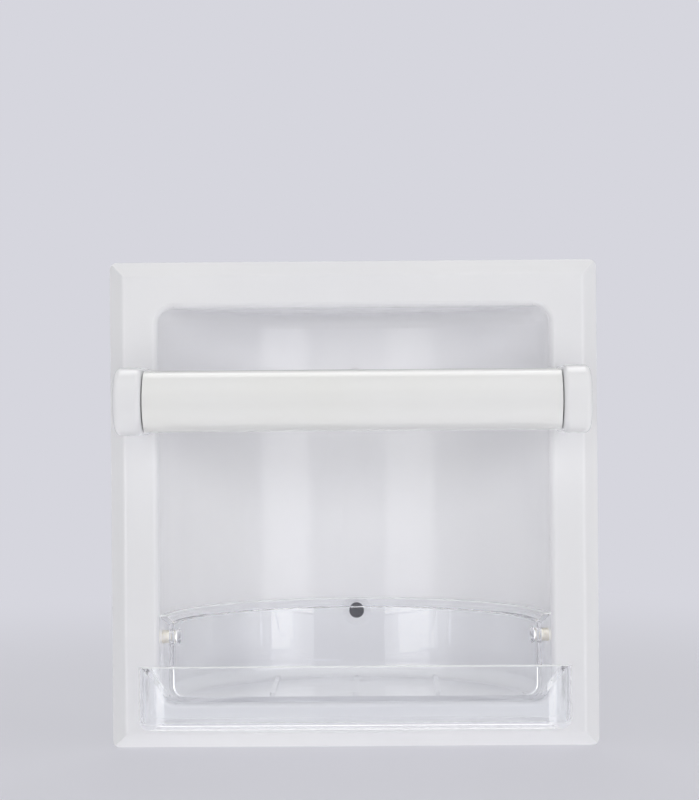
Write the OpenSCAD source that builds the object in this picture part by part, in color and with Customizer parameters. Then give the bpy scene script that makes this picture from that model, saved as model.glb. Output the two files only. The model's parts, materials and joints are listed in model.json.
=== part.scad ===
// Recessed soap holder with grab bar, for a bathroom wall.
// X runs to the right, Y into the wall and Z up. The origin is the middle of the wall opening,
// on the wall's surface. The housing is drawn or cast in one piece: a bevelled flange, a rolled
// opening and a round-backed pan. A grab bar spans it between two posts, and a clear soap tray
// slides out of it to the front.

/* [Flange] */
// Width of the flange
flange_w = 165; // [150:1:190]
// Height of the flange
flange_h = 164.6; // [150:0.2:190]
// Width of the flange's face on each side of the pan
side_face_w = 16; // [16:0.1:18]
// Height of the flange's face above and below the pan
top_face_h = 15.6; // [13:0.2:18]
// How far the flange stands off the wall
flange_d = 6; // [5:0.5:10]
// Height of the square lip that meets the wall
lip_d = 2; // [1.5:0.5:3]
// Width of the bevel, seen from the front
bevel_w = 4.8; // [3:0.2:4.8]
// Rounding of the edge between the flange's face and its bevel
face_edge_r = 2; // [1.8:0.1:2.1]
// Corner radius of the flange
flange_corner_r = 2.5; // [1:0.5:6]
// Wall thickness of the flange and the pan
shell = 1.2; // [1:0.1:1.6]

/* [Pan] */
// How far the axis of the round back lies in front of the wall
pan_axis_d = 10; // [8:0.5:14]
// Fillet between the back and the ceiling or floor
pan_fillet = 5.5; // [4:0.5:12]
// Radius of the rolled edge around the opening
roll_r = 2.4; // [2:0.1:3]

/* [Wall screws] */
// Distance between the two screw holes in the back
wall_hole_pitch = 84; // [70:1:94]
// Diameter of each screw hole
wall_hole_d = 5.6; // [4:0.2:6.5]
// Diameter of the countersink around each hole
countersink_d = 10; // [8:0.5:12]
// Diameter of the dimple that each screw head sits in, outside
dimple_d = 14; // [13:0.5:18]
// Length of each hole's straight wall
wall_hole_l = 1.2; // [1:0.1:2]

/* [Posts] */
// Thickness of each post across the bar
post_t = 9; // [7:0.2:9]
// Height of each post
post_h = 22.2; // [20.4:0.2:26]
// Rounding of the post's edges
post_edge_r = 2; // [0.5:0.25:2.5]
// Distance between each post and the flange's bevel
post_margin = 0.8; // [0.3:0.1:0.8]
// Distance between the two screws in each post
post_screw_pitch = 12; // [10:1:14]

/* [Grab bar] */
// Diameter of the bar
bar_d = 20; // [16:0.5:20]
// Wall thickness of the bar's tube
bar_t = 1.2; // [1:0.1:2]
// How far the bar's axis lies below the pan's ceiling
bar_drop = 31.6; // [22:0.2:44]
// Distance of the bar's axis in front of the flange
bar_reach = 29; // [20:1:35]
// Gap between the tube's end and the post
bar_gap = 0.5; // [0.3:0.1:1]
// Length of each plug inside the tube
plug_l = 12; // [8:1:16]
// Diameter of the plug's spigot
spigot_d = 12; // [10:0.5:12]
// Depth of the spigot's socket in the post
socket_d = 6; // [5:0.25:6]

/* [Fasteners] */
// Nominal diameter of the post screws and set screws
screw_d = 4; // [3:0.5:4]
// Length of the post screws under the head
screw_l = 10; // [8:1:14]
// Diameter of the screw heads
head_d = 7.4; // [6:0.2:7.6]
// Height of the screw heads
head_h = 2.2; // [1.8:0.1:2.4]
// Diameter of the washers
washer_d = 8.4; // [8:0.1:8.6]
// Thickness of the washers
washer_t = 0.8; // [0.5:0.1:1]
// Length of the set screws
set_screw_l = 4.6; // [4:0.2:5]

/* [Soap tray] */
// Wall thickness of the tray
tray_t = 1.9; // [1.6:0.1:2.2]
// Gap between the tray's round back and the pan
tray_gap = 3.3; // [3.2:0.1:6]
// Fillet around the tray's floor, outside
tray_fillet = 6; // [5:0.5:7]
// Height of the back rim above the tray's underside
rim_h = 29.3; // [22:0.1:35]
// Gap between the back rim's flared lip and the pan
rim_gap = 0.6; // [0.4:0.1:2]
// Height of the flared lip
rim_lip_h = 3.4; // [2:0.2:5]
// How far each end of the front trough lies inside the flange's edge
trough_margin = 10.6; // [8:0.2:14]
// How far the trough reaches in front of the flange
trough_reach = 22; // [15:1:28]
// Depth of the trough below the tray's underside
trough_drop = 6.9; // [4:0.1:10]
// Radius of the trough's front corners
trough_corner_r = 10; // [6:0.5:14]
// Rounding of the trough's lower front edge
trough_edge_r = 3; // [2.5:0.5:5]
// Rounding of the trough's lower edges at its ends
trough_end_r = 4; // [2.5:0.5:6]
// Height of the front rim above the tray's underside
front_h = 15; // [12:0.1:18]
// Height at which the front rim starts to flare
crease_h = 4.7; // [3:0.1:7]
// How far the front rim flares forward
front_flare = 4.5; // [2:0.5:7]
// How far the front rim's ends flare sideways
side_flare = 8; // [4:0.5:9]
// Fall of the trough's side rims towards the flange
rim_fall = 3.6; // [2:0.1:5]
// Number of ribs on the tray's floor
rib_count = 3; // [1:1:3]
// Distance between the ribs
rib_pitch = 28; // [14:1:28]
// Width of each rib
rib_w = 1.6; // [1.2:0.1:3]
// Height of each rib above the floor
rib_h = 1.6; // [1:0.1:3]
// How far the ribs stop short of the rounding at the tray's back
rib_gap = 2.8; // [1:0.2:12]

/* [Tray studs] */
// Diameter of each stud
stud_d = 4.4; // [3.5:0.1:5]
// How far each stud stands behind the wall's surface
stud_y = 1.5; // [0:0.5:6]
// How far the studs lie below the tray's back rim
stud_drop = 8; // [7:0.5:10]
// Diameter of the stud's tail, through the pan
tail_d = 3; // [2:0.1:3.4]
// Diameter of the tail's flattened end
rivet_d = 6; // [5:0.5:7]
// Thickness of the tail's flattened end
rivet_t = 0.7; // [0.5:0.1:1]
// Diameter of the tray's hole in front of each stud
tray_hole_d = 5.4; // [5:0.1:6]

/* [Fits] */
// Radial clearance around a shank in its tapped hole
thread_fit = 0.05; // [0.03:0.01:0.08]
// Radial clearance of a screw through a plate or washer
free_fit = 0.2; // [0.15:0.05:0.3]
// Radial clearance of a plug in the tube and of a spigot in its socket
plug_fit = 0.05; // [0.03:0.01:0.1]
// Clearance between the tray and the housing
tray_fit = 0.4; // [0.35:0.05:0.5]

/* [Output] */
// Which node to build, or all

/* [Hidden] */
$fn = 96;
eps = 0.5;

half_w = flange_w / 2;
half_h = flange_h / 2;
front_y = -flange_d;

// The pan's round back turns about an upright axis in front of the flange.
pan_r = half_w - side_face_w;
pan_axis_y = -pan_axis_d;
pan_d = pan_r + pan_axis_y;
pan_half_h = half_h - top_face_h;
pan_outer_r = pan_r + shell;

// The rolled edge: an arc that dips just past the front, so that it crosses it at an angle.
roll_dip = 0.15;
roll_y = front_y + roll_r - roll_dip;
step = 0.08;
throat_w = sqrt(pow(pan_r, 2) - pow(roll_y - pan_axis_y, 2)) + step;
throat_h = pan_half_h + step;
throat_r = pan_fillet + step;
inner_roll_r = roll_r - shell + 0.15;

// The bevel's inner face lies one wall thickness behind the outer one.
bevel_d = flange_d - lip_d;
bevel_l = sqrt(pow(bevel_w, 2) + pow(bevel_d, 2));
inner_lip_y = -lip_d + shell * (bevel_l - bevel_d) / bevel_w;
inner_bevel_w = (shell * bevel_l + (bevel_d - shell) * bevel_w) / bevel_d;

// Where the posts and the bar stand.
bar_y = front_y - bar_reach;
bar_z = pan_half_h - bar_drop;
post_x = half_w - bevel_w - post_margin - post_t;
post_mid_x = post_x + post_t / 2;
tube_half_l = post_x - bar_gap;
plate_back_y = front_y + shell;
post_screw_zs = [bar_z - post_screw_pitch / 2, bar_z + post_screw_pitch / 2];

// The tray's round back follows the pan's, and the studs sit under its rim.
tray_r = pan_r - tray_gap;
rim_lip_x = pan_r - rim_gap;
rim_z = tray_fit - pan_half_h + rim_h;
stud_z = rim_z - stud_drop;

// Where the pan's wall passes each stud.
stud_wall_in = sqrt(pow(pan_r, 2) - pow(stud_y - pan_axis_y, 2));
stud_wall_out = sqrt(pow(pan_outer_r, 2) - pow(stud_y - pan_axis_y, 2));

// The tray's levels.
tray_under_z = tray_fit - pan_half_h;
tray_floor_z = tray_under_z + tray_t;
lip_bottom_z = rim_z - rim_lip_h;
trough_half_w = half_w - trough_margin;
trough_back_y = front_y - tray_fit;
trough_front_y = front_y - trough_reach;
trough_bottom_z = tray_under_z - trough_drop;
crease_z = tray_under_z + crease_h;
front_rim_z = tray_under_z + front_h;
front_rim_y = trough_front_y - front_flare;
tray_mouth_w = throat_w - 0.25;
stud_tip_x = sqrt(pow(tray_r, 2) - pow(stud_y - pan_axis_y, 2)) + tray_fit;
rim_band = 1.1;

// The ribs' back ends, from where the outermost rib meets the floor's rounding.
rib_half_span = (rib_count - 1) / 2 * rib_pitch + rib_w / 2;
rib_end_y = pan_axis_y - rib_gap + sqrt(pow(tray_r - tray_fillet, 2) - pow(rib_half_span, 2));

// The front rim falls in a straight line from its front edge to the flange.
function rim_at(y) =
    front_rim_z - rim_fall * (y - front_rim_y) / (trough_back_y - front_rim_y);

// Half a bevelled section: half a width, the lip's level, the bevel's width, the front, the
// back and the radius of the edge between the face and the bevel.
module bevel_section(half, lip_y, inset, front, back, edge_r) {
    past = 0.2;
    slope = atan2(lip_y - front, inset);
    tangent = edge_r * tan(slope / 2);
    face = half - inset - tangent;
    translate([face, front + edge_r]) circle(edge_r);
    polygon([[-eps, back], [-eps, front], [face, front],
             [half - inset + tangent * cos(slope), front + tangent * sin(slope)],
             [half + inset * past, lip_y + (lip_y - front) * past],
             [half + inset * past, back]]);
}

// Extrudes a shape drawn in X and Z along Y.
module along_y(from, to) {
    translate([0, to, 0]) rotate([90, 0, 0]) linear_extrude(height = to - from) children();
}

// Extrudes a shape drawn in Y and Z along X.
module along_x(from, to) {
    translate([from, 0, 0]) rotate([90, 0, 90]) linear_extrude(height = to - from) children();
}

// A rod along X or along Y.
module rod_x(d, from, to) {
    translate([from, 0, 0]) rotate([0, 90, 0]) cylinder(d = d, h = to - from);
}

module rod_y(d, from, to) {
    translate([0, from, 0]) rotate([-90, 0, 0]) cylinder(d = d, h = to - from);
}

module rounded_rect(w, h, r) {
    square([w - 2 * r, h], center = true);
    square([w, h - 2 * r], center = true);
    for (x = [-1, 1], y = [-1, 1]) translate([x * (w / 2 - r), y * (h / 2 - r)]) circle(r);
}

// Everything behind a plane across Y.
module behind(y) {
    reach = 2 * max(flange_w, flange_h);
    translate([-reach / 2, y, -reach / 2]) cube(reach);
}

// ---- Housing ----

module bevelled_block(w, h, corner_r, lip_y, inset, front, back, edge_r) {
    intersection() {
        linear_extrude(height = 2 * h, center = true) for (side = [0, 1])
            mirror([side, 0]) bevel_section(w, lip_y, inset, front, back, edge_r);
        rotate([0, -90, 0]) linear_extrude(height = 2 * w, center = true) for (side = [0, 1])
            mirror([side, 0]) bevel_section(h, lip_y, inset, front, back, edge_r);
        along_y(front - eps, back + eps) rounded_rect(2 * w, 2 * h, corner_r);
    }
}

// The pan's rounded drum: a full turn, of which the part behind the opening is used.
module drum(r, half, fillet) {
    translate([0, pan_axis_y, 0]) rotate_extrude() intersection() {
        rounded_rect(2 * r, 2 * half, fillet);
        translate([0, -half - eps]) square([r + eps, 2 * (half + eps)]);
    }
}

// Section of the rolled edge's plug: all that lies inside an arc of radius r.
module roll_section(reach, r) {
    difference() {
        translate([0, front_y - eps]) square([reach, roll_y - front_y + eps]);
        translate([reach, roll_y]) circle(r);
    }
}

// A plug with the opening's rounded outline and a flared edge of radius r.
module roll_plug(r) {
    for (side = [0, 1]) {
        mirror([side, 0, 0]) linear_extrude(height = 2 * (throat_h - throat_r), center = true)
            roll_section(throat_w + roll_r, r);
        mirror([0, 0, side]) rotate([0, -90, 0])
            linear_extrude(height = 2 * (throat_w - throat_r), center = true)
                roll_section(throat_h + roll_r, r);
        for (top = [0, 1])
            mirror([side, 0, 0]) mirror([0, 0, top])
                translate([throat_w - throat_r, 0, throat_r - throat_h]) rotate([-90, 0, 0])
                    rotate_extrude(angle = 90) roll_section(throat_r + roll_r, r);
    }
}

// The hollow behind the flange, open towards the wall.
module flange_hollow() {
    difference() {
        bevelled_block(half_w - shell, half_h - shell, flange_corner_r - shell, inner_lip_y,
                       inner_bevel_w - shell, plate_back_y, eps, face_edge_r - shell);
        drum(pan_outer_r, pan_half_h + shell, pan_fillet + shell);
        roll_plug(inner_roll_r);
    }
}

countersink_l = (countersink_d - wall_hole_d) / 2;
dimple_y = pan_d + countersink_l + wall_hole_l;

module at_wall_holes() {
    for (z = [-1, 1]) translate([0, 0, z * wall_hole_pitch / 2]) children();
}

module housing() {
    color("white") difference() {
        union() {
            bevelled_block(half_w, half_h, flange_corner_r, -lip_d, bevel_w, front_y, 0,
                           face_edge_r);
            intersection() {
                drum(pan_outer_r, pan_half_h + shell, pan_fillet + shell);
                behind(front_y / 2);
            }
            at_wall_holes() translate([0, pan_d + shell / 4, 0]) rotate([-90, 0, 0])
                cylinder(d1 = dimple_d, d2 = wall_hole_d + 3 * shell,
                         h = dimple_y - pan_d - shell / 4);
        }
        flange_hollow();
        drum(pan_r, pan_half_h, pan_fillet);
        roll_plug(roll_r);
        at_wall_holes() {
            rod_y(wall_hole_d, pan_d - 1, dimple_y + 1);
            translate([0, pan_d - eps, 0]) rotate([-90, 0, 0])
                cylinder(d1 = countersink_d + 2 * eps, d2 = wall_hole_d,
                         h = countersink_l + eps);
        }
        for (side = [-1, 1], z = post_screw_zs)
            translate([side * post_mid_x, 0, z])
                rod_y(screw_d + 2 * free_fit, front_y - 1, plate_back_y + 1);
        for (side = [0, 1]) mirror([side, 0, 0]) translate([0, stud_y, stud_z])
            rod_x(tail_d + 2 * thread_fit, stud_wall_in - 2, stud_wall_out + 2);
    }
}

// ---- Posts and bar ----

// The right-hand post: a flat arm with soft edges and a round head around the bar's axis.
module post() {
    difference() {
        union() {
            translate([post_mid_x, 0, bar_z]) along_y(bar_y, front_y)
                rounded_rect(post_t, post_h, post_edge_r);
            translate([post_mid_x, bar_y, bar_z]) rotate([0, 90, 0])
                rotate([0, 0, 180]) rotate_extrude(angle = 180) intersection() {
                    rounded_rect(post_h, post_t, post_edge_r);
                    translate([0, -post_t]) square([post_h, 2 * post_t]);
                }
        }
        translate([0, bar_y, bar_z])
            rod_x(spigot_d + 2 * plug_fit, post_x - 1, post_x + socket_d);
        for (z = post_screw_zs) translate([post_mid_x, 0, z])
            rod_y(screw_d, front_y - screw_l, front_y + 1);
        translate([post_x + socket_d / 2, bar_y, bar_z - post_h / 2 - 1])
            cylinder(d = screw_d, h = post_h / 2 + 1);
    }
}

module right_post() {
    color("white") post();
}

module left_post() {
    color("white") mirror([1, 0, 0]) post();
}

module grab_bar() {
    color("white") translate([0, bar_y, bar_z]) difference() {
        rod_x(bar_d, -tube_half_l, tube_half_l);
        rod_x(bar_d - 2 * bar_t, -tube_half_l - 1, tube_half_l + 1);
    }
}

// The right-hand plug: pressed into the tube, with a spigot that stands in the post.
module bar_plug() {
    translate([0, bar_y, bar_z]) {
        rod_x(bar_d - 2 * (bar_t + plug_fit), tube_half_l - plug_l, tube_half_l);
        rod_x(spigot_d, tube_half_l - plug_l / 2, post_x + socket_d - free_fit);
    }
}

module right_bar_plug() {
    color("gray") bar_plug();
}

module left_bar_plug() {
    color("gray") mirror([1, 0, 0]) bar_plug();
}

// ---- Fasteners ----

hex_d = screw_d / 2;
hex_l = set_screw_l / 2;
cross_w = 1;
cross_d = head_h / 2;

// A grub screw under each post, tight against the spigot.
module set_screws() {
    color("silver") for (side = [-1, 1])
        translate([side * (post_x + socket_d / 2), bar_y, bar_z - spigot_d / 2 - set_screw_l])
            difference() {
                cylinder(d = screw_d - 2 * thread_fit, h = set_screw_l);
                translate([0, 0, -1]) cylinder(d = hex_d, h = hex_l + 1, $fn = 6);
            }
}

module at_post_screws() {
    for (side = [-1, 1], z = post_screw_zs) translate([side * post_mid_x, 0, z]) children();
}

// Four screws, from behind the flange into the posts.
module post_screws() {
    head_y = plate_back_y + washer_t;
    color("silver") at_post_screws() difference() {
        union() {
            rod_y(screw_d - 2 * thread_fit, head_y - screw_l, head_y + head_h / 2);
            rod_y(head_d, head_y, head_y + head_h);
        }
        for (turn = [0, 90])
            translate([0, head_y + head_h, 0]) rotate([0, turn, 0])
                cube([head_d / 2, 2 * cross_d, cross_w], center = true);
    }
}

module post_washers() {
    color("silver") at_post_screws() difference() {
        rod_y(washer_d, plate_back_y, plate_back_y + washer_t);
        rod_y(screw_d + 2 * free_fit, plate_back_y - 1, plate_back_y + washer_t + 1);
    }
}

// ---- Soap tray and its studs ----

seat = 0.02;

// The right-hand stud: a shoulder inside the pan and a tail that is flattened outside it.
module stud() {
    tip = stud_d / 10;
    translate([0, stud_y, stud_z]) rod_x(tail_d, stud_wall_in - 1, stud_wall_out + rivet_t / 2);
    intersection() {
        translate([0, stud_y, stud_z]) {
            rod_x(stud_d, stud_tip_x + tip, stud_wall_out);
            translate([stud_tip_x, 0, 0]) rotate([0, 90, 0])
                cylinder(d1 = stud_d - 2 * tip, d2 = stud_d, h = tip);
        }
        drum(pan_r - seat, pan_half_h, pan_fillet);
    }
    difference() {
        translate([0, stud_y, stud_z])
            rod_x(rivet_d, stud_wall_in, stud_wall_out + rivet_t);
        drum(pan_outer_r + seat, pan_half_h + shell, pan_fillet + shell);
    }
}

module tray_studs() {
    color("gold") for (side = [0, 1]) mirror([side, 0, 0]) stud();
}

// Half a bowl's section, with a rounded lower corner.
module bowl_section(r, bottom, fillet, top) {
    translate([0, bottom]) square([r - fillet, top - bottom]);
    translate([0, bottom + fillet]) square([r, top - bottom - fillet]);
    translate([r - fillet, bottom + fillet]) circle(fillet);
}

module bowl_inside() {
    inner = tray_r - tray_t;
    top = rim_z + 1;
    translate([0, pan_axis_y, 0]) rotate_extrude() {
        intersection() {
            bowl_section(inner, tray_floor_z, tray_fillet - tray_t, top);
            translate([0, tray_floor_z - 1]) square([tray_r, top - tray_floor_z + 2]);
        }
        polygon([[inner - 1, lip_bottom_z], [inner, lip_bottom_z + tray_t / 3],
                 [rim_lip_x - tray_t, rim_z], [rim_lip_x - tray_t, top], [inner - 1, top]]);
    }
}

module bowl_outside() {
    translate([0, pan_axis_y, 0]) rotate_extrude() {
        intersection() {
            bowl_section(tray_r, tray_under_z, tray_fillet, lip_bottom_z + tray_t / 2);
            translate([0, tray_under_z - 1]) square([tray_r + 1, rim_h + 2]);
        }
        polygon([[0, lip_bottom_z], [tray_r, lip_bottom_z], [rim_lip_x, rim_z - rim_band],
                 [rim_lip_x, rim_z], [0, rim_z]]);
    }
}

// The tray's front plate, which fills the lower part of the opening.
module mouth_plate() {
    along_y(trough_back_y, trough_back_y + tray_t) intersection() {
        rounded_rect(2 * tray_mouth_w, -2 * tray_under_z, throat_r);
        translate([-flange_w / 2, -flange_h]) square([flange_w, flange_h + rim_z]);
    }
}

// Plan, side and front sections of the trough, taken in by a wall thickness for its inside.
module trough_plan(in) {
    w = trough_half_w - in;
    r = trough_corner_r - in;
    front = trough_front_y + in;
    translate([r - w, front]) square([2 * (w - r), trough_back_y - in - front]);
    translate([-w, front + r]) square([2 * w, trough_back_y - in - front - r]);
    for (side = [-1, 1]) translate([side * (w - r), front + r]) circle(r);
}

module trough_side(in, top) {
    r = trough_edge_r - in;
    front = trough_front_y + in;
    bottom = trough_bottom_z + in;
    translate([front + r, bottom]) square([trough_back_y - in - front - r, top - bottom]);
    translate([front, bottom + r]) square([trough_back_y - in - front, top - bottom - r]);
    translate([front + r, bottom + r]) circle(r);
}

module trough_face(in, top) {
    w = trough_half_w - in;
    r = trough_end_r - in;
    bottom = trough_bottom_z + in;
    translate([r - w, bottom]) square([2 * (w - r), top - bottom]);
    translate([-w, bottom + r]) square([2 * w, top - bottom - r]);
    for (side = [-1, 1]) translate([side * (w - r), bottom + r]) circle(r);
}

// The trough's body, in the flare's own top for the outside and open for the inside.
module trough_body(in, top) {
    intersection() {
        along_x(-trough_half_w - 1, trough_half_w + 1) trough_side(in, top);
        along_y(trough_front_y - 1, trough_back_y) trough_face(in, top);
        translate([0, 0, trough_bottom_z - 1])
            linear_extrude(height = top - trough_bottom_z + 2) trough_plan(in);
    }
}

// The flared front panel with its mitred ends.
module trough_flare(in, top) {
    rise = front_rim_z - crease_z;
    lean = front_flare * (top - crease_z) / rise;
    spread = side_flare * (top - crease_z) / rise;
    flat_w = trough_half_w - trough_corner_r - in;
    front = trough_front_y + in;
    back = trough_front_y + trough_corner_r;
    intersection() {
        along_x(-trough_half_w - 1, trough_half_w + 1)
            polygon([[front, crease_z], [front - lean, top], [back, top], [back, crease_z]]);
        along_y(trough_front_y - 2 * front_flare, back + 1)
            polygon([[-flat_w, crease_z - eps], [flat_w, crease_z - eps],
                     [flat_w + spread, top + eps], [-flat_w - spread, top + eps]]);
    }
}

// All that lies under the front rim's slope.
module under_rim() {
    out = front_rim_y - 1;
    in = trough_back_y + 1;
    along_x(-trough_half_w - 2, trough_half_w + 2)
        polygon([[out, trough_bottom_z - 1], [out, rim_at(out)], [in, rim_at(in)],
                 [in, trough_bottom_z - 1]]);
}

module soap_tray() {
    top = front_rim_z + 1;
    rib_start_y = trough_back_y - tray_t / 2;
    color("lightcyan", 0.4) difference() {
        union() {
            difference() {
                union() {
                    intersection() {
                        bowl_outside();
                        behind(trough_back_y);
                    }
                    mouth_plate();
                    intersection() {
                        union() {
                            trough_body(0, top);
                            trough_flare(0, top);
                        }
                        under_rim();
                    }
                }
                trough_body(tray_t, top + 1);
                trough_flare(tray_t, top + 1);
                intersection() {
                    bowl_inside();
                    behind(trough_back_y - tray_t - eps);
                }
            }
            for (i = [0 : rib_count - 1])
                translate([i * rib_pitch - rib_half_span, rib_start_y, tray_floor_z - tray_t / 2])
                    cube([rib_w, rib_end_y - rib_start_y, rib_h + tray_t / 2]);
        }
        for (side = [0, 1]) mirror([side, 0, 0]) translate([0, stud_y, stud_z])
            rod_x(tray_hole_d, tray_r - 3 * tray_t, tray_r + tray_t);
    }
}

housing();
left_post();
right_post();
grab_bar();
left_bar_plug();
right_bar_plug();
set_screws();
post_screws();
post_washers();
tray_studs();
soap_tray();
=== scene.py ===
# %% [markdown]
# # A recessed soap holder with a grab bar
#
# This file dresses a finished CAD model: a white fixture that is let into a bathroom wall, with a
# bar across it and a clear tray that pulls out. The model's solids already have the right shapes
# and sizes, so this lesson is about the rest of a picture: a camera that stands where the
# photographer stood, finishes that look like enamel, nickel and clear plastic, and studio light.
#
# X runs to the right, Y into the wall and Z up. Lengths are in metres. The origin is the middle
# of the wall opening, on the wall's surface.

import json
import math

import bpy
from mathutils import Vector
from mathutils.bvhtree import BVHTree
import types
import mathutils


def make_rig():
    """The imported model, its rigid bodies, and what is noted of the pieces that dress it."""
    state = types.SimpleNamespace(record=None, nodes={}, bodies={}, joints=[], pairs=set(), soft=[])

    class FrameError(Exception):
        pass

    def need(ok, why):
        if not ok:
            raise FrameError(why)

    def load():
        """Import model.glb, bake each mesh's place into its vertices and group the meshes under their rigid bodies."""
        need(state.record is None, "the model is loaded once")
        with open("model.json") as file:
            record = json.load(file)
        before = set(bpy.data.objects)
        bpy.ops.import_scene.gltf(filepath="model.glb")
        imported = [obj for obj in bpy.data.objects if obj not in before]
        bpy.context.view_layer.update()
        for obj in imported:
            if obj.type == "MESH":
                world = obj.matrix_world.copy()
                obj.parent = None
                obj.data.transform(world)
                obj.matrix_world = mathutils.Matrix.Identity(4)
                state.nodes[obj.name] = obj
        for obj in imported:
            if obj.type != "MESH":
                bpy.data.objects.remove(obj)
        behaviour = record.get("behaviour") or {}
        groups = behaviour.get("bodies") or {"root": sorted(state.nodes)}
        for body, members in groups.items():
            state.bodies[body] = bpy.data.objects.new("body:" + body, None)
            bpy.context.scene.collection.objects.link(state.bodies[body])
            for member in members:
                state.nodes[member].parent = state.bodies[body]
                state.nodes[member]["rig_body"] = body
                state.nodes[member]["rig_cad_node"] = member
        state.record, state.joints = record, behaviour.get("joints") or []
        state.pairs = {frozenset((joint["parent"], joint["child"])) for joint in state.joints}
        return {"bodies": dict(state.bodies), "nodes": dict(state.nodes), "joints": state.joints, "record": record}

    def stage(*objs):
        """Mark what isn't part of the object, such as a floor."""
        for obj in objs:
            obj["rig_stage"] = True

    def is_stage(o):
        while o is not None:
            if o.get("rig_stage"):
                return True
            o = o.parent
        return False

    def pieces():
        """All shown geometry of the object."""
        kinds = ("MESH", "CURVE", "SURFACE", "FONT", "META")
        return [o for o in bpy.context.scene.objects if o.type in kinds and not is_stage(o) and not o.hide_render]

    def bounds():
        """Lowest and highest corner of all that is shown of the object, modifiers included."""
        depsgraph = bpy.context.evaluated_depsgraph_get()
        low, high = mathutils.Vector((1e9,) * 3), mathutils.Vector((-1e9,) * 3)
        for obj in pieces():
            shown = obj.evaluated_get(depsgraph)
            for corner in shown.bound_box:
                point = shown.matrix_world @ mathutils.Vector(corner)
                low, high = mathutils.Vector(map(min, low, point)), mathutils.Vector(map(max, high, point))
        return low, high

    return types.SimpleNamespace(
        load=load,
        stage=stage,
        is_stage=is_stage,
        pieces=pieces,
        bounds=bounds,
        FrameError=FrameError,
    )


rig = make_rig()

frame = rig.load()
nodes = frame["nodes"]
cad_low, cad_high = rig.bounds()
bpy.ops.object.select_all(action="DESELECT")

MM = 0.001
print("CAD pieces:", ", ".join(sorted(nodes)))
print("CAD box in mm:", [round(v / MM, 1) for v in (*cad_low, *cad_high)])

# %% [markdown]
# ## The camera
#
# A camera is matched to a photo by points: places that are easy to name in the picture and whose
# place on the object is known. The four corners of the flange give the distance, the roll and
# the direction. The curve of the tray's back rim, which is flat in truth, gives the height and
# the strength of the perspective. The camera stands level with the bar and looks straight in,
# turned by well under a degree. Blender could also fit a camera with a solver, but a handful of
# named values is easier to read and to change.

# %% Image points, in pixels of the 699 x 800 photo
IMAGE_W, IMAGE_H = 699, 800

IMAGE_POINTS = {
    "object_left": (111.8, None),
    "object_right": (600.9, None),
    "object_top": (None, 259.5),
    "object_bottom": (None, 748.0),
    "flange_top_left": (112.4, 262.6),
    "flange_top_right": (596.4, 259.5),
    "flange_bottom_left": (111.8, 748.1),
    "flange_bottom_right": (600.9, 744.0),
    "opening_left": (160.2, None),
    "opening_right": (550.3, None),
    "bar_top": (None, 369.0),
    "bar_bottom": (None, 430.8),
    "left_post_outer_face": (111.8, None),
    "right_post_outer_face": (591.5, None),
    "lower_wall_hole": (356.1, 610.4),
    "left_stud": (168.2, 635.0),
    "right_stud": (543.2, 635.6),
    "tray_back_rim": (None, 597.0),
    "tray_front_rim_left": (139.0, 668.0),
    "tray_front_rim_right": (568.6, 664.2),
}
print(len(IMAGE_POINTS), "image points")

# %% Put the camera where the photographer stood
CAMERA_X = 7.15 * MM
CAMERA_DISTANCE = 740.3 * MM
CAMERA_Z = 35.2 * MM
CAMERA_ROLL = math.radians(0.43)
CAMERA_TURN = math.radians(0.66)
CAMERA_LENS = 97.9  # in the same mm as the sensor's width
SENSOR_WIDTH = 36.0

camera_data = bpy.data.cameras.new("camera")
camera_data.sensor_fit = "AUTO"
camera_data.sensor_width = SENSOR_WIDTH
camera_data.lens = CAMERA_LENS
camera = bpy.data.objects.new("camera", camera_data)
camera.location = (CAMERA_X, -CAMERA_DISTANCE, CAMERA_Z)
camera.rotation_euler = (math.pi / 2, CAMERA_ROLL, CAMERA_TURN)
bpy.context.scene.collection.objects.link(camera)
bpy.context.scene.camera = camera
bpy.context.view_layer.update()
print("camera at", [round(v / MM) for v in camera.location], "mm, lens", CAMERA_LENS, "mm")

# %% [markdown]
# ## Helpers for the materials
#
# Colours are written as sRGB hex values, the way a colour picker shows them, and Blender's
# sockets want linear light, so one function turns the one into the other. A second one adds a
# node with its settings and links, which is all that it takes to write any material.

# %% Colours and nodes
def linear(colour):
    """An sRGB hex colour as the linear RGBA that Blender's sockets take."""
    parts = [int(colour[i:i + 2], 16) / 255 for i in (0, 2, 4)]
    return (*[p / 12.92 if p <= 0.04045 else ((p + 0.055) / 1.055) ** 2.4 for p in parts], 1.0)


def add(tree, kind, inputs=None, stops=(), **settings):
    """Adds a node. inputs gives its sockets, by name or number, a value or the output of another
    node. stops gives a colour ramp its pairs of a position and an sRGB hex colour."""
    node = tree.nodes.new("ShaderNode" + kind)
    for name, value in settings.items():
        setattr(node, name, value)
    for name, value in (inputs or {}).items():
        if isinstance(value, bpy.types.NodeSocket):
            tree.links.new(value, node.inputs[name])
        else:
            node.inputs[name].default_value = value
    for number, (position, colour) in enumerate(stops):
        node.color_ramp.elements[number].position = position
        node.color_ramp.elements[number].color = linear(colour)
    return node


def new_material(name):
    """A material with an empty tree: (material, tree, Object coordinates, surface socket)."""
    material = bpy.data.materials.new(name)
    material.use_nodes = True
    tree = material.node_tree
    tree.nodes.clear()
    output = add(tree, "OutputMaterial")
    place = add(tree, "TexCoord").outputs["Object"]
    return material, tree, place, output.inputs["Surface"]


def per_metre(size):
    """The scale of a noise whose lumps are size metres across."""
    return 1 / size


print("0.5 grey is", round(linear("808080")[0], 3), "in linear light")

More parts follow.
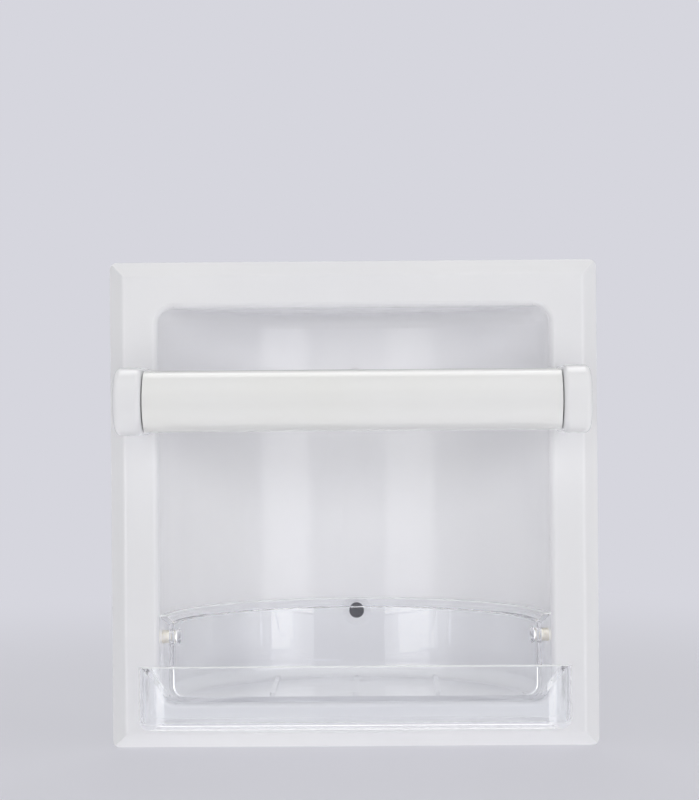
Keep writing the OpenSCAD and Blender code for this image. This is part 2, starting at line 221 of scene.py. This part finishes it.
# %% [markdown]
# ## White enamel
#
# The housing and the posts are finished in gloss white: a stoved enamel that flowed before it
# set. To the eye it is a clean, slightly cool white with a tight highlight that ripples a
# little, because the flow leaves an orange peel of lumps a few millimetres across. Its colour
# is nearly even, with faint clouds where the coat is thicker. The bar's coat is a touch warmer
# in the photo, so it gets a mix of its own.
#
# The peel could be real displacement, but it is a few microns high. A bump from a noise shows
# the same ripple in the highlights and leaves the meshes alone.

# %% White enamel
def enamel(name, white, cloud, roughness):
    """Gloss enamel: two close whites in soft clouds, and orange peel in the highlight."""
    material, tree, place, surface = new_material(name)
    clouds = add(tree, "TexNoise", {"Vector": place, "Scale": per_metre(60 * MM), "Detail": 3.0,
                                    "Roughness": 0.5})
    colour = add(tree, "ValToRGB", {"Fac": clouds.outputs["Fac"]},
                 stops=((0.35, cloud), (0.65, white)))
    peel = add(tree, "TexNoise", {"Vector": place, "Scale": per_metre(2.6 * MM), "Detail": 1.0,
                                  "Roughness": 0.4})
    bump = add(tree, "Bump", {"Height": peel.outputs["Fac"], "Strength": 0.06,
                              "Distance": 0.02 * MM})
    wear = add(tree, "TexNoise", {"Vector": place, "Scale": per_metre(9 * MM), "Detail": 4.0,
                                  "Roughness": 0.6})
    gloss = add(tree, "MapRange", {"Value": wear.outputs["Fac"], "From Min": 0.3, "From Max": 0.7,
                                   "To Min": roughness * 0.8, "To Max": roughness * 1.25})
    shader = add(tree, "BsdfPrincipled",
                 {"Base Color": colour.outputs["Color"], "Roughness": gloss.outputs["Result"],
                  "Normal": bump.outputs["Normal"], "IOR": 1.5})
    tree.links.new(shader.outputs["BSDF"], surface)
    return material


white_enamel = enamel("white_stoved_enamel", "FAFAFC", "F7F7FA", 0.16)
bar_enamel = enamel("warm_white_stoved_enamel", "FAFAFA", "F8F8F6", 0.14)
print("made", white_enamel.name, "and", bar_enamel.name)

# %% [markdown]
# ## Clear plastic
#
# The tray is injection-moulded from clear polystyrene. It bends light about as glass does and
# is polished on both sides by the mould, so it shows mostly by its edges, by the white enamel
# that it bends into view, and by reflections. The melt leaves a slow waviness on its faces.
# The rims catch the light of the tent as a thin bright line, which a glass shader alone leaves
# dark. So a painted highlight stands in for it: the shader turns paler along the rims, by a
# mask on Object coordinates, which needs no extra faces on the tray.
#
# Two things keep it clear. Light for the surfaces behind it goes straight through, as the
# faint shadow of a clear tray is mostly lost in a light tent. And a ray that has been mirrored
# to and fro inside a wall several times goes straight on, because the renderer would
# otherwise drop it and leave the edge black.

# %% The painted highlight along the tray's rims
FRONT_PANEL_Y = -20 * MM  # the trough's front, with its flared rim, lies before this
RIM_HEIGHT = 0.45 * MM  # how wide the pale line is

tray_corners = [v.co.copy() for v in nodes["soap_tray"].data.vertices]
trough_corners = [c for c in tray_corners if c.y < FRONT_PANEL_Y]
back_rim_z = max(c.z for c in tray_corners)
front_rim_z = max(c.z for c in trough_corners)
front_half_width = max(c.x for c in trough_corners)


# The mask for the rims' painted highlight.
def rim_lines(tree, place):
    """1 along the back rim and the front panel's upper edge and ends, and 0 elsewhere."""
    at = add(tree, "SeparateXYZ", {"Vector": place}).outputs
    across = add(tree, "Math", {0: at["X"]}, operation="ABSOLUTE").outputs["Value"]
    upper_edge = add(tree, "Math", {0: at["Z"], 1: front_rim_z - RIM_HEIGHT},
                     operation="GREATER_THAN").outputs["Value"]
    ends = add(tree, "Math", {0: across, 1: front_half_width - RIM_HEIGHT},
               operation="GREATER_THAN").outputs["Value"]
    outline = add(tree, "Math", {0: upper_edge, 1: ends}, operation="MAXIMUM").outputs["Value"]
    in_front = add(tree, "Math", {0: at["Y"], 1: FRONT_PANEL_Y},
                   operation="LESS_THAN").outputs["Value"]
    front_rim = add(tree, "Math", {0: outline, 1: in_front},
                    operation="MULTIPLY").outputs["Value"]
    back_rim = add(tree, "Math", {0: at["Z"], 1: back_rim_z - RIM_HEIGHT},
                   operation="GREATER_THAN").outputs["Value"]
    return add(tree, "Math", {0: front_rim, 1: back_rim}, operation="MAXIMUM").outputs["Value"]


print("rims at z", round(back_rim_z / MM, 1), "and", round(front_rim_z / MM, 1), "mm")

# %% Clear polystyrene
RIM_HIGHLIGHT_SHARE = 0.7  # how much of a rim's line is pale rather than clear
TRAPPED_AFTER = 3.5  # rays that have met more surfaces than this go straight on


def clear_plastic(name):
    """Clear plastic, with a fine pale line painted along the rims as their highlight."""
    material, tree, place, surface = new_material(name)
    flow = add(tree, "TexNoise", {"Vector": place, "Scale": per_metre(14 * MM), "Detail": 1.0,
                                  "Roughness": 0.3})
    bump = add(tree, "Bump", {"Height": flow.outputs["Fac"], "Strength": 0.1,
                              "Distance": 0.08 * MM})
    haze = add(tree, "TexNoise", {"Vector": place, "Scale": per_metre(5 * MM), "Detail": 5.0,
                                  "Roughness": 0.65})
    gloss = add(tree, "MapRange", {"Value": haze.outputs["Fac"], "From Min": 0.35,
                                   "From Max": 0.7, "To Min": 0.01, "To Max": 0.06})
    # Along the rims the plastic turns paler and less clear: a painted highlight for the light that the rims catch.
    clearness = add(tree, "MapRange", {"Value": rim_lines(tree, place), "To Min": 1.0,
                                       "To Max": 1.0 - RIM_HIGHLIGHT_SHARE})
    plastic = add(tree, "BsdfPrincipled",
                  {"Base Color": linear("FDFEFE"), "Roughness": gloss.outputs["Result"],
                   "Normal": bump.outputs["Normal"], "IOR": 1.5,
                   "Transmission Weight": clearness.outputs["Result"]})
    passed = add(tree, "BsdfTransparent", {"Color": linear("FEFEFF")})
    rays = add(tree, "LightPath").outputs
    lighting = add(tree, "Math", {0: rays["Is Shadow Ray"], 1: rays["Is Diffuse Ray"]},
                   operation="MAXIMUM").outputs["Value"]
    trapped = add(tree, "Math", {0: rays["Ray Depth"], 1: TRAPPED_AFTER},
                  operation="GREATER_THAN").outputs["Value"]
    straight_on = add(tree, "Math", {0: lighting, 1: trapped}, operation="MAXIMUM")
    shader = add(tree, "MixShader", {"Fac": straight_on.outputs["Value"],
                                     1: plastic.outputs["BSDF"], 2: passed.outputs["BSDF"]})
    tree.links.new(shader.outputs["Shader"], surface)
    return material


tray_plastic = clear_plastic("clear_moulded_polystyrene")
print("made", tray_plastic.name)

# %% [markdown]
# ## Small metal and plastic parts
#
# The studs are turned brass with a thin coat of nickel, a warm silver with rings from the tool
# around their axis. The rings are drawn coarser than a lathe leaves them, as the studs are tiny
# in the picture. The screws and washers are zinc-plated steel: a bluish, slightly mottled grey.
# The plugs are moulded in white nylon with a fine spark-eroded grain. All of them are small,
# so a colour, a gloss and one bump each are enough, and their shapes stay as the CAD has them.

# %% Nickel plate on turned brass
RING_SPACING = 3.14 * MM
WAVE_RADIANS = 20  # a Wave texture with a scale of 1 runs through so many in a metre


def nickel_plate():
    """A warm silver, a little mottled, ringed around the X axis."""
    material, tree, place, surface = new_material("nickel_plated_brass")
    rings = add(tree, "TexWave",
                {"Vector": place, "Scale": math.tau * per_metre(RING_SPACING) / WAVE_RADIANS,
                 "Distortion": 0.6, "Detail": 1.0}, wave_type="BANDS", bands_direction="X")
    bump = add(tree, "Bump", {"Height": rings.outputs["Fac"], "Strength": 0.4,
                              "Distance": 0.02 * MM})
    tarnish = add(tree, "TexNoise", {"Vector": place, "Scale": per_metre(1.5 * MM),
                                     "Detail": 3.0, "Roughness": 0.6})
    colour = add(tree, "ValToRGB", {"Fac": tarnish.outputs["Fac"]},
                 stops=((0.3, "EBE4D3"), (0.7, "FCF8EE")))
    shader = add(tree, "BsdfPrincipled",
                 {"Base Color": colour.outputs["Color"], "Normal": bump.outputs["Normal"],
                  "Metallic": 1.0, "Roughness": 0.4})
    tree.links.new(shader.outputs["BSDF"], surface)
    return material


nickel = nickel_plate()
print("made", nickel.name)

# %% Zinc plate on steel
def zinc_plate():
    """A bluish grey, mottled in its colour and its gloss."""
    material, tree, place, surface = new_material("zinc_plated_steel")
    mottle = add(tree, "TexNoise", {"Vector": place, "Scale": per_metre(1.2 * MM),
                                    "Detail": 4.0, "Roughness": 0.6})
    colour = add(tree, "ValToRGB", {"Fac": mottle.outputs["Fac"]},
                 stops=((0.3, "A9ADB4"), (0.7, "C9CCD2")))
    gloss = add(tree, "MapRange", {"Value": mottle.outputs["Fac"], "From Min": 0.3,
                                   "From Max": 0.7, "To Min": 0.26, "To Max": 0.4})
    shader = add(tree, "BsdfPrincipled",
                 {"Base Color": colour.outputs["Color"], "Roughness": gloss.outputs["Result"],
                  "Metallic": 1.0})
    tree.links.new(shader.outputs["BSDF"], surface)
    return material


zinc_steel = zinc_plate()
print("made", zinc_steel.name)

# %% Moulded nylon
def white_nylon():
    """A soft, slightly grey white with a fine, matt grain."""
    material, tree, place, surface = new_material("white_moulded_nylon")
    grain = add(tree, "TexNoise", {"Vector": place, "Scale": per_metre(0.4 * MM),
                                   "Detail": 2.0, "Roughness": 0.5})
    colour = add(tree, "ValToRGB", {"Fac": grain.outputs["Fac"]},
                 stops=((0.3, "E2E2E4"), (0.7, "ECECED")))
    bump = add(tree, "Bump", {"Height": grain.outputs["Fac"], "Strength": 0.5,
                              "Distance": 0.03 * MM})
    shader = add(tree, "BsdfPrincipled",
                 {"Base Color": colour.outputs["Color"], "Normal": bump.outputs["Normal"],
                  "Roughness": 0.45, "IOR": 1.53})
    tree.links.new(shader.outputs["BSDF"], surface)
    return material


plug_nylon = white_nylon()
print("made", plug_nylon.name)

# %% [markdown]
# ## The finishes on the pieces
#
# Each CAD piece keeps its mesh and only gets its material. A bevel or a weld modifier would
# often help a plain mesh, but here the edges are already rounded in the solids. On the clear
# tray either of them would also disturb the exact normals that bend its reflections.

# %% Give each CAD piece its finish
FINISHES = {
    "housing": white_enamel,
    "left_post": white_enamel,
    "right_post": white_enamel,
    "grab_bar": bar_enamel,
    "left_bar_plug": plug_nylon,
    "right_bar_plug": plug_nylon,
    "set_screws": zinc_steel,
    "post_screws": zinc_steel,
    "post_washers": zinc_steel,
    "tray_studs": nickel,
    "soap_tray": tray_plastic,
}
for name, material in FINISHES.items():
    piece = nodes[name]
    for material_slot in piece.material_slots:
        material_slot.material = material
    if not piece.material_slots:
        piece.data.materials.append(material)
print("finished", len(FINISHES), "CAD pieces")

# %% [markdown]
# ## The floor
#
# The photo was taken in a light tent, on a pale lilac-grey card. Here a plain floor starts as
# lit paper below the object, where it takes the object's shadow, and turns, a little way off,
# into exactly the backdrop's colour, so that no horizon shows. A sheet that curves up behind
# would do the same from the front, but would show its bend from the other sides.
#
# The floor blocks no lamp and isn't seen in mirror images or through the tray, as if it were
# the tent's thin, lit cloth.

# %% The floor
BACKDROP = "D6D6DE"
FLOOR_WHITE = "F4F4F6"
FLOOR_LIT = "F4F4F8"
FLOOR_LIT_SHARE = 0.35
FLOOR_FADE_FROM = 150 * MM
FLOOR_FADE_TO = 600 * MM
FLOOR_HALF_SIZE = 30.0
FLOOR_GAP = 0.05 * MM
FLOOR_Z = cad_low.z - FLOOR_GAP

bpy.ops.mesh.primitive_plane_add(size=2 * FLOOR_HALF_SIZE, location=(0, 0, FLOOR_Z))
floor = bpy.context.object
floor.name = "floor"
bpy.ops.object.transform_apply(location=True)
floor_material, tree, place, surface = new_material("matt_paper_floor")
fibre = add(tree, "TexNoise", {"Vector": place, "Scale": per_metre(4 * MM), "Detail": 3.0,
                               "Roughness": 0.6})
fibre_bump = add(tree, "Bump", {"Height": fibre.outputs["Fac"], "Strength": 0.06,
                                "Distance": 0.02 * MM})
paper = add(tree, "BsdfDiffuse", {"Color": linear(FLOOR_WHITE),
                                  "Normal": fibre_bump.outputs["Normal"]})
lit_part = add(tree, "BsdfDiffuse", {"Color": linear(FLOOR_LIT),
                                     "Normal": fibre_bump.outputs["Normal"]})
even_part = add(tree, "Emission", {"Color": linear(BACKDROP), "Strength": 1.0})
distance = add(tree, "VectorMath", {"Vector": place}, operation="LENGTH")
near = add(tree, "MapRange", {"Value": distance.outputs["Value"], "From Min": FLOOR_FADE_FROM,
                              "From Max": FLOOR_FADE_TO, "To Min": FLOOR_LIT_SHARE,
                              "To Max": 0.0}, interpolation_type="SMOOTHSTEP")
seen_floor = add(tree, "MixShader", {"Fac": near.outputs["Result"],
                                     1: even_part.outputs["Emission"],
                                     2: lit_part.outputs["BSDF"]})
floor_shader = add(tree, "MixShader", {"Fac": add(tree, "LightPath").outputs["Is Camera Ray"],
                                       1: paper.outputs["BSDF"],
                                       2: seen_floor.outputs["Shader"]})
tree.links.new(floor_shader.outputs["Shader"], surface)
floor.data.materials.append(floor_material)
floor.visible_glossy = False
floor.visible_transmission = False
floor.visible_shadow = False
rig.stage(floor)
print("floor at z", round(FLOOR_Z / MM, 2), "mm")

# %% [markdown]
# The lower screw hole opens into the dark behind the pan. A small dark disc stands there as
# painted shade for that darkness. It is staging, not a piece.

# %% Painted shade behind the lower screw hole
SHADE_DISC_CLEARANCE = 0.1 * MM
SHADE_DISC_SET_IN = 0.9 * MM  # from the hole's far end

wall_screws = next(m for m in frame["record"]["mounts"] if m["name"] == "wall_screws")
hole_below = wall_screws["dims"]["spacing_y_mm"] * MM / 2
shade_disc_radius = wall_screws["dims"]["hole_r_mm"] * MM - SHADE_DISC_CLEARANCE

bpy.ops.object.select_all(action="DESELECT")
bpy.ops.mesh.primitive_circle_add(vertices=48, radius=shade_disc_radius, fill_type="NGON",
                                  location=(0, cad_high.y - SHADE_DISC_SET_IN, -hole_below),
                                  rotation=(math.pi / 2, 0, 0))
dark = bpy.context.object
dark.name = "painted_shade_behind_hole"
bpy.ops.object.transform_apply(location=True, rotation=True)
# A mottled dark grey: painted shade, not a material of the fixture.
dark_material, tree, place, surface = new_material("painted_shade_disc")
shade_mottle = add(tree, "TexNoise", {"Vector": place, "Scale": per_metre(0.5 * MM), "Detail": 2.0,
                              "Roughness": 0.6})
shade_colour = add(tree, "ValToRGB", {"Fac": shade_mottle.outputs["Fac"]},
                  stops=((0.0, "48484E"), (1.0, "606066")))
shade_shader = add(tree, "BsdfDiffuse", {"Color": shade_colour.outputs["Color"]})
tree.links.new(shade_shader.outputs["BSDF"], surface)
dark.data.materials.append(dark_material)
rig.stage(dark)
print("dark disc", round(hole_below / MM, 1), "mm below the middle")

# %% [markdown]
# ## The world and the lamps
#
# The backdrop is the world, as the camera sees it. Mirror images and the clear tray see the
# tent instead: brighter above and below than at the sides. Rays that go down through the tray
# still see the backdrop, so the trough doesn't burn out from above. As light, the world is
# weak and even, because a strong one would wash out the shades inside the pan.
#
# Two tall soft boxes stand left and right in front. The round back of the pan is a concave
# mirror, and shows each of them as an upright streak, and so does the tray's round back wall.
# Their places follow from the streaks in the photo. A panel high behind gives the bar its
# bright upper edge, one overhead and one below light its top and bottom, two at the sides
# light the flange's bevels, and a large fill behind the camera lights the inside of the pan.

# %% World: even light, and the backdrop or the tent where they are seen
WORLD_LIGHT = 0.05
TENT_LIGHT = 1.6  # from straight above
TABLE_LIGHT = 1.7  # from straight below
LEVEL = 0.3  # up to this slope, the sine of the angle, a direction counts as level
STEEP = 0.75  # from this slope on, only the tent shows

world = bpy.data.worlds.new("studio")
world.use_nodes = True
bpy.context.scene.world = world
tree = world.node_tree
tree.nodes.clear()
rays = add(tree, "LightPath").outputs
even_light = add(tree, "Background", {"Color": linear("FFFFFF"), "Strength": WORLD_LIGHT})
backdrop = add(tree, "Background", {"Color": linear(BACKDROP), "Strength": 1.0})
direction = add(tree, "TexCoord").outputs["Generated"]
upward = add(tree, "SeparateXYZ", {"Vector": direction}).outputs["Z"]
brightness = add(tree, "MapRange", {"Value": upward, "From Min": -LEVEL, "From Max": LEVEL,
                                    "To Min": TABLE_LIGHT, "To Max": TENT_LIGHT})
tent = add(tree, "Background", {"Color": linear("FFFFFF"),
                                "Strength": brightness.outputs["Result"]})
slope = add(tree, "Math", {0: upward}, operation="ABSOLUTE")
steep = add(tree, "MapRange", {"Value": slope.outputs["Value"], "From Min": LEVEL,
                               "From Max": STEEP})
not_camera = add(tree, "Math", {0: 1.0, 1: rays["Is Camera Ray"]}, operation="SUBTRACT")
downward = add(tree, "Math", {0: upward, 1: 0.0}, operation="LESS_THAN")
down_through_tray = add(tree, "Math", {0: rays["Is Transmission Ray"],
                                       1: downward.outputs["Value"]}, operation="MULTIPLY")
sees_tent = add(tree, "Math", {0: not_camera.outputs["Value"],
                               1: down_through_tray.outputs["Value"]}, operation="SUBTRACT")
tent_share = add(tree, "Math", {0: steep.outputs["Result"], 1: sees_tent.outputs["Value"]},
                 operation="MULTIPLY")
surroundings = add(tree, "MixShader", {"Fac": tent_share.outputs["Value"],
                                       1: backdrop.outputs["Background"],
                                       2: tent.outputs["Background"]})
seen_direct = add(tree, "Math", {0: rays["Is Camera Ray"], 1: rays["Is Glossy Ray"]},
                  operation="MAXIMUM")
seen = add(tree, "Math", {0: seen_direct.outputs["Value"], 1: rays["Is Transmission Ray"]},
           operation="MAXIMUM")
world_shader = add(tree, "MixShader", {"Fac": seen.outputs["Value"],
                                       1: even_light.outputs["Background"],
                                       2: surroundings.outputs["Shader"]})
add(tree, "OutputWorld", {"Surface": world_shader.outputs["Shader"]})
print("world light", WORLD_LIGHT)

# %% Lamps
def soft_box(name, direction, distance, width, height, radiance, shiny=False):
    """A soft box that faces the origin. Mirror images and the tray show only a shiny one."""
    side, up = (math.radians(a) for a in direction)
    toward = Vector((math.sin(side) * math.cos(up), -math.cos(side) * math.cos(up),
                     math.sin(up)))
    data = bpy.data.lights.new(name, "AREA")
    data.shape = "RECTANGLE"
    data.size = width
    data.size_y = height
    data.energy = radiance * math.pi * width * height
    lamp = bpy.data.objects.new(name, data)
    lamp.location = toward * distance
    lamp.rotation_euler = toward.to_track_quat("Z", "Y").to_euler()
    lamp.visible_camera = False
    lamp.visible_glossy = shiny
    lamp.visible_transmission = shiny
    bpy.context.scene.collection.objects.link(lamp)
    return lamp


# name, (degrees to the right, degrees up), distance, width and height in metres, radiance
lamps = [
    soft_box("right_soft_box", (43.0, -3.0), 1.4, 0.75, 1.0, 1.9, shiny=True),
    soft_box("left_soft_box", (-34.5, -3.0), 1.4, 0.77, 1.0, 1.8, shiny=True),
    soft_box("right_edge_light", (80.0, 10.0), 1.2, 0.5, 0.8, 1.7),
    soft_box("left_edge_light", (-80.0, 10.0), 1.2, 0.5, 0.8, 1.0),
    soft_box("top_panel", (180.0, 59.0), 1.2, 0.5, 0.9, 2.0, shiny=True),
    soft_box("overhead_panel", (0.0, 80.0), 1.3, 1.2, 1.2, 1.0),
    soft_box("front_fill", (0.0, -1.0), 2.0, 1.2, 1.6, 2.5),
    soft_box("table_light", (0.0, -50.0), 1.3, 1.2, 0.8, 0.5),
]
print("lamps:", ", ".join(lamp.name for lamp in lamps))

# %% Colour management
bpy.context.scene.view_settings.view_transform = "Standard"
print("view transform", bpy.context.scene.view_settings.view_transform)

# %% [markdown]
# ## Where things show
#
# Each image point is compared with what the camera sees of the finished model. A vertex shows
# if a ray from the camera reaches it before anything opaque. The tray is clear, so it hides
# nothing. A box around each piece would be quicker, but its corners lie off the object.

# %% From the frame to the photo
LONG_SIDE = max(IMAGE_W, IMAGE_H)


def to_image(point):
    """A point in the frame as x, y in pixels of the photo."""
    p = camera.matrix_world.inverted() @ point
    scale = LONG_SIDE * camera_data.lens / camera_data.sensor_width / -p.z
    return IMAGE_W / 2 + p.x * scale, IMAGE_H / 2 - p.y * scale


print("the origin shows at", [round(v, 1) for v in to_image(Vector((0, 0, 0)))])

# %% Which vertices show
SEEN_WITHIN = 0.3 * MM


def opaque_tree():
    """The opaque pieces as one tree to cast rays at."""
    corners, faces = [], []
    for name, piece in nodes.items():
        if name != "soap_tray":
            first = len(corners)
            corners += [v.co.copy() for v in piece.data.vertices]
            faces += [[first + i for i in f.vertices] for f in piece.data.polygons]
    return BVHTree.FromPolygons(corners, faces)


opaque = opaque_tree()


def shows(point):
    """Whether a ray from the camera reaches the point before anything opaque."""
    start = camera.matrix_world.translation
    way = point - start
    hit = opaque.ray_cast(start, way.normalized())
    return hit[0] is None or hit[3] > way.length - SEEN_WITHIN


def seen_points(name, keep=lambda p: True):
    """Image places of a CAD piece's vertices that show and pass keep."""
    points = {tuple(round(c, 7) for c in v.co) for v in nodes[name].data.vertices if keep(v.co)}
    return [to_image(Vector(p)) for p in points if shows(Vector(p))]


print(len(seen_points("housing")), "vertices of the housing show")

# %% Where the features lie on their pieces
FLANGE_Y = -1.5 * MM  # the flange's face and bevels lie before this
MOUTH_Y = (-4.3 * MM, -3.2 * MM)  # the stretch of the rolled edge that bounds the opening
MOUTH_HALF_WIDTH = 70 * MM  # more than the opening's, less than the flange's
MOUTH_STRAIGHT_Z = 62 * MM  # the opening's sides are straight up to here
PAN_BACK_Y = 57 * MM  # behind this, only the screw holes show
TRAY_BACK_Y = 50 * MM  # the middle of the tray's back wall lies behind this
TRAY_FRONT_Y = -31 * MM  # only the front rim's upper edge lies before this


def edges(points):
    """The left, right, top and bottom of what shows."""
    xs, ys = [p[0] for p in points], [p[1] for p in points]
    return min(xs), max(xs), min(ys), max(ys)


def middle(points):
    """The middle of what shows."""
    left, right, top, bottom = edges(points)
    return (left + right) / 2, (top + bottom) / 2


def flange_corner(side, end):
    """One corner of the flange. side is -1 on the left and 1 on the right, end 1 at the top."""
    left, right, top, bottom = edges(seen_points(
        "housing", lambda p: p.y < FLANGE_Y and p.x * side > 0 and p.z * end > 0))
    return right if side > 0 else left, top if end > 0 else bottom


def mouth_side(side):
    """The image places of one upright side of the opening."""
    return edges(seen_points(
        "housing", lambda p: MOUTH_Y[0] < p.y < MOUTH_Y[1] and 0 < p.x * side < MOUTH_HALF_WIDTH
        and abs(p.z) < MOUTH_STRAIGHT_Z))


print("the flange is read in front of y", round(FLANGE_Y / MM, 1), "mm")

# %% Measure each point and write the file
def measure():
    """Where each image point shows in the finished model."""
    left, right, top, bottom = edges([p for name in nodes for p in seen_points(name)])
    bar_top, bar_bottom = edges(seen_points("grab_bar"))[2:]
    front_rim = seen_points("soap_tray", lambda p: p.y < TRAY_FRONT_Y)
    return {
        "object_left": (left, None),
        "object_right": (right, None),
        "object_top": (None, top),
        "object_bottom": (None, bottom),
        "flange_top_left": flange_corner(-1, 1),
        "flange_top_right": flange_corner(1, 1),
        "flange_bottom_left": flange_corner(-1, -1),
        "flange_bottom_right": flange_corner(1, -1),
        "opening_left": (mouth_side(-1)[1], None),
        "opening_right": (mouth_side(1)[0], None),
        "bar_top": (None, bar_top),
        "bar_bottom": (None, bar_bottom),
        "left_post_outer_face": (edges(seen_points("left_post"))[0], None),
        "right_post_outer_face": (edges(seen_points("right_post"))[1], None),
        "lower_wall_hole": middle(seen_points("housing",
                                              lambda p: p.y > PAN_BACK_Y and p.z < 0)),
        "left_stud": middle(seen_points("tray_studs", lambda p: p.x < 0)),
        "right_stud": middle(seen_points("tray_studs", lambda p: p.x > 0)),
        "tray_back_rim": (None, edges(seen_points("soap_tray",
                                                  lambda p: p.y > TRAY_BACK_Y))[2]),
        "tray_front_rim_left": min(front_rim, key=lambda p: p[1] + p[0]),
        "tray_front_rim_right": min(front_rim, key=lambda p: p[1] - p[0]),
    }


try:
    found = measure()
    offsets = {
        name: [None if want is None or got is None else round(got - want, 1)
               for want, got in zip(IMAGE_POINTS[name], found[name])]
        for name in IMAGE_POINTS
    }
except Exception as problem:
    offsets = {"problem": str(problem)}
with open("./points.json", "w") as out:
    json.dump(offsets, out, indent=1)
print("offsets in px:", offsets)

# %% Write the sizes and finish
low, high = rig.bounds()
with open("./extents.json", "w") as out:
    json.dump({"cad": [list(cad_low), list(cad_high)], "visual": [list(low), list(high)]}, out)
print("visual box in mm:", [round(v / MM, 1) for v in (*low, *high)])
